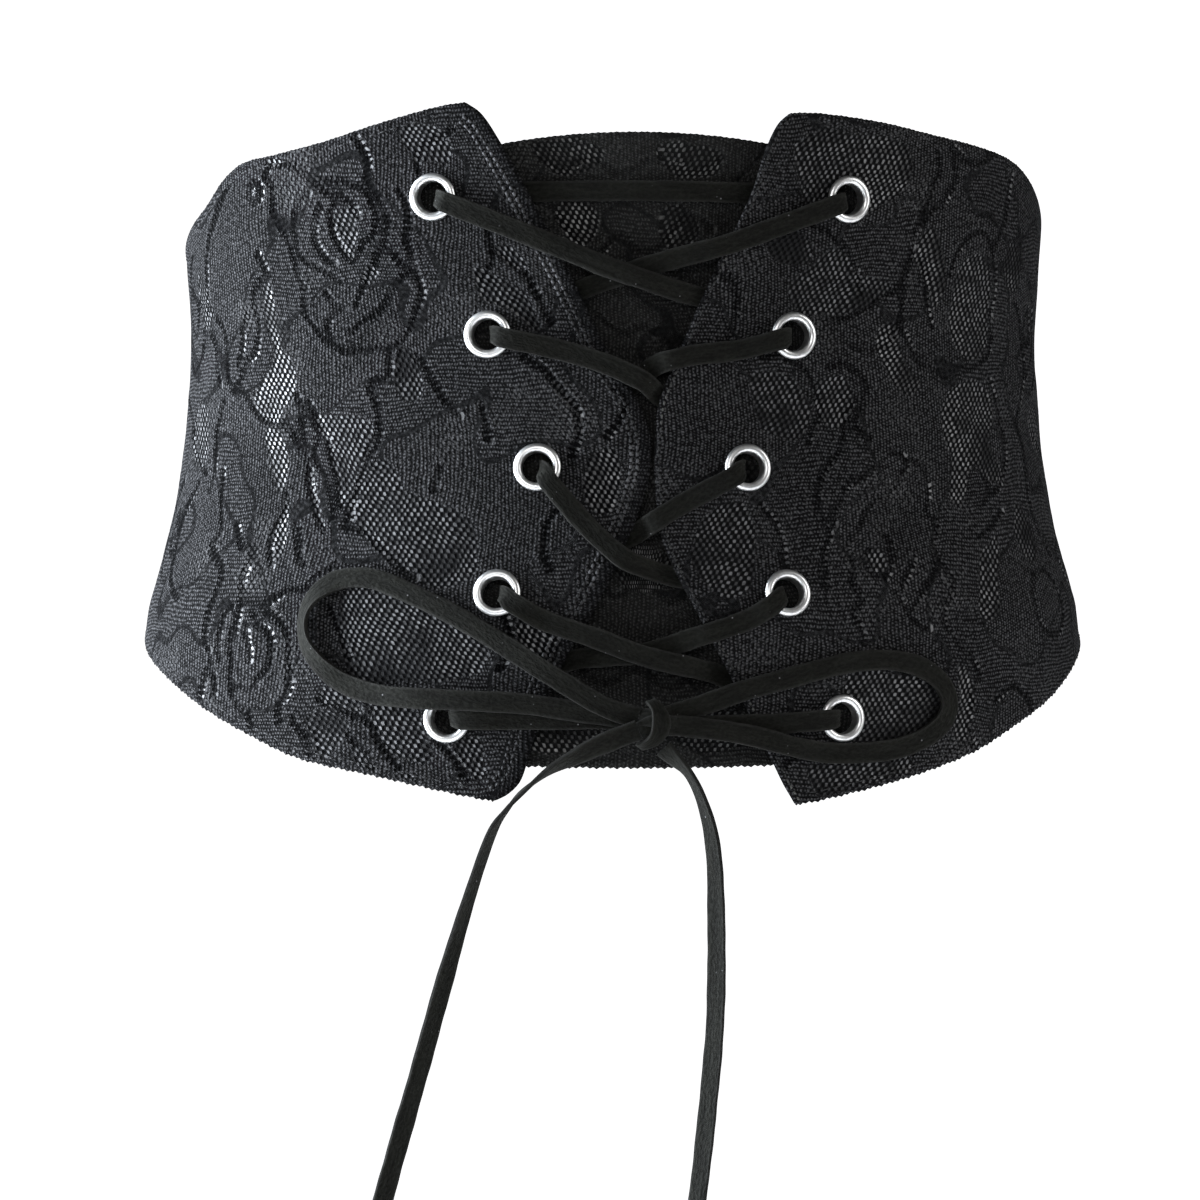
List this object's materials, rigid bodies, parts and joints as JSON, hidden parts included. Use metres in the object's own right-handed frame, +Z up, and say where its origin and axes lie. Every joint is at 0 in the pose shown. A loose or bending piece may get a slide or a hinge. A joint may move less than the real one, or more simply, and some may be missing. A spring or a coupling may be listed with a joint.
{
  "type": "lace-up elastic waist belt",
  "caption": "Wide waist belt with two pointed lace-over-leather front panels, laced with a flat cord tied in a bow, and an elastic back.",
  "frame": {"origin": "on the waist's axis at the height of the waistline, where the wearer's waist is", "axes": "+Z up along the wearer's waist, the laced front faces -Y, +X to the right of a viewer in front"},
  "size_m": [0.2623, 0.1942, 0.3064],
  "materials": {
    "lace_leather": "black stretch rose lace over semi-matt black faux leather",
    "lace_cloth": "black stretch lace over black faux leather, matt",
    "elastic_webbing": "black woven elastic, matt and ribbed",
    "nickel": "bright nickel",
    "suede_cord": "matt faux suede"
  },
  "bodies": {
    "root": {"panel_left": "lace_leather", "panel_right": "lace_leather", "modesty_panel": "lace_cloth", "back_elastic": "elastic_webbing", "eyelet_left_1": "nickel", "eyelet_left_2": "nickel", "eyelet_left_3": "nickel", "eyelet_left_4": "nickel", "eyelet_left_5": "nickel", "eyelet_right_1": "nickel", "eyelet_right_2": "nickel", "eyelet_right_3": "nickel", "eyelet_right_4": "nickel", "eyelet_right_5": "nickel", "lacing": "suede_cord", "bow_knot": "suede_cord", "bow_loop_left": "suede_cord", "bow_loop_right": "suede_cord", "tail_left": "suede_cord", "tail_right": "suede_cord"}
  },
  "joints": []
}
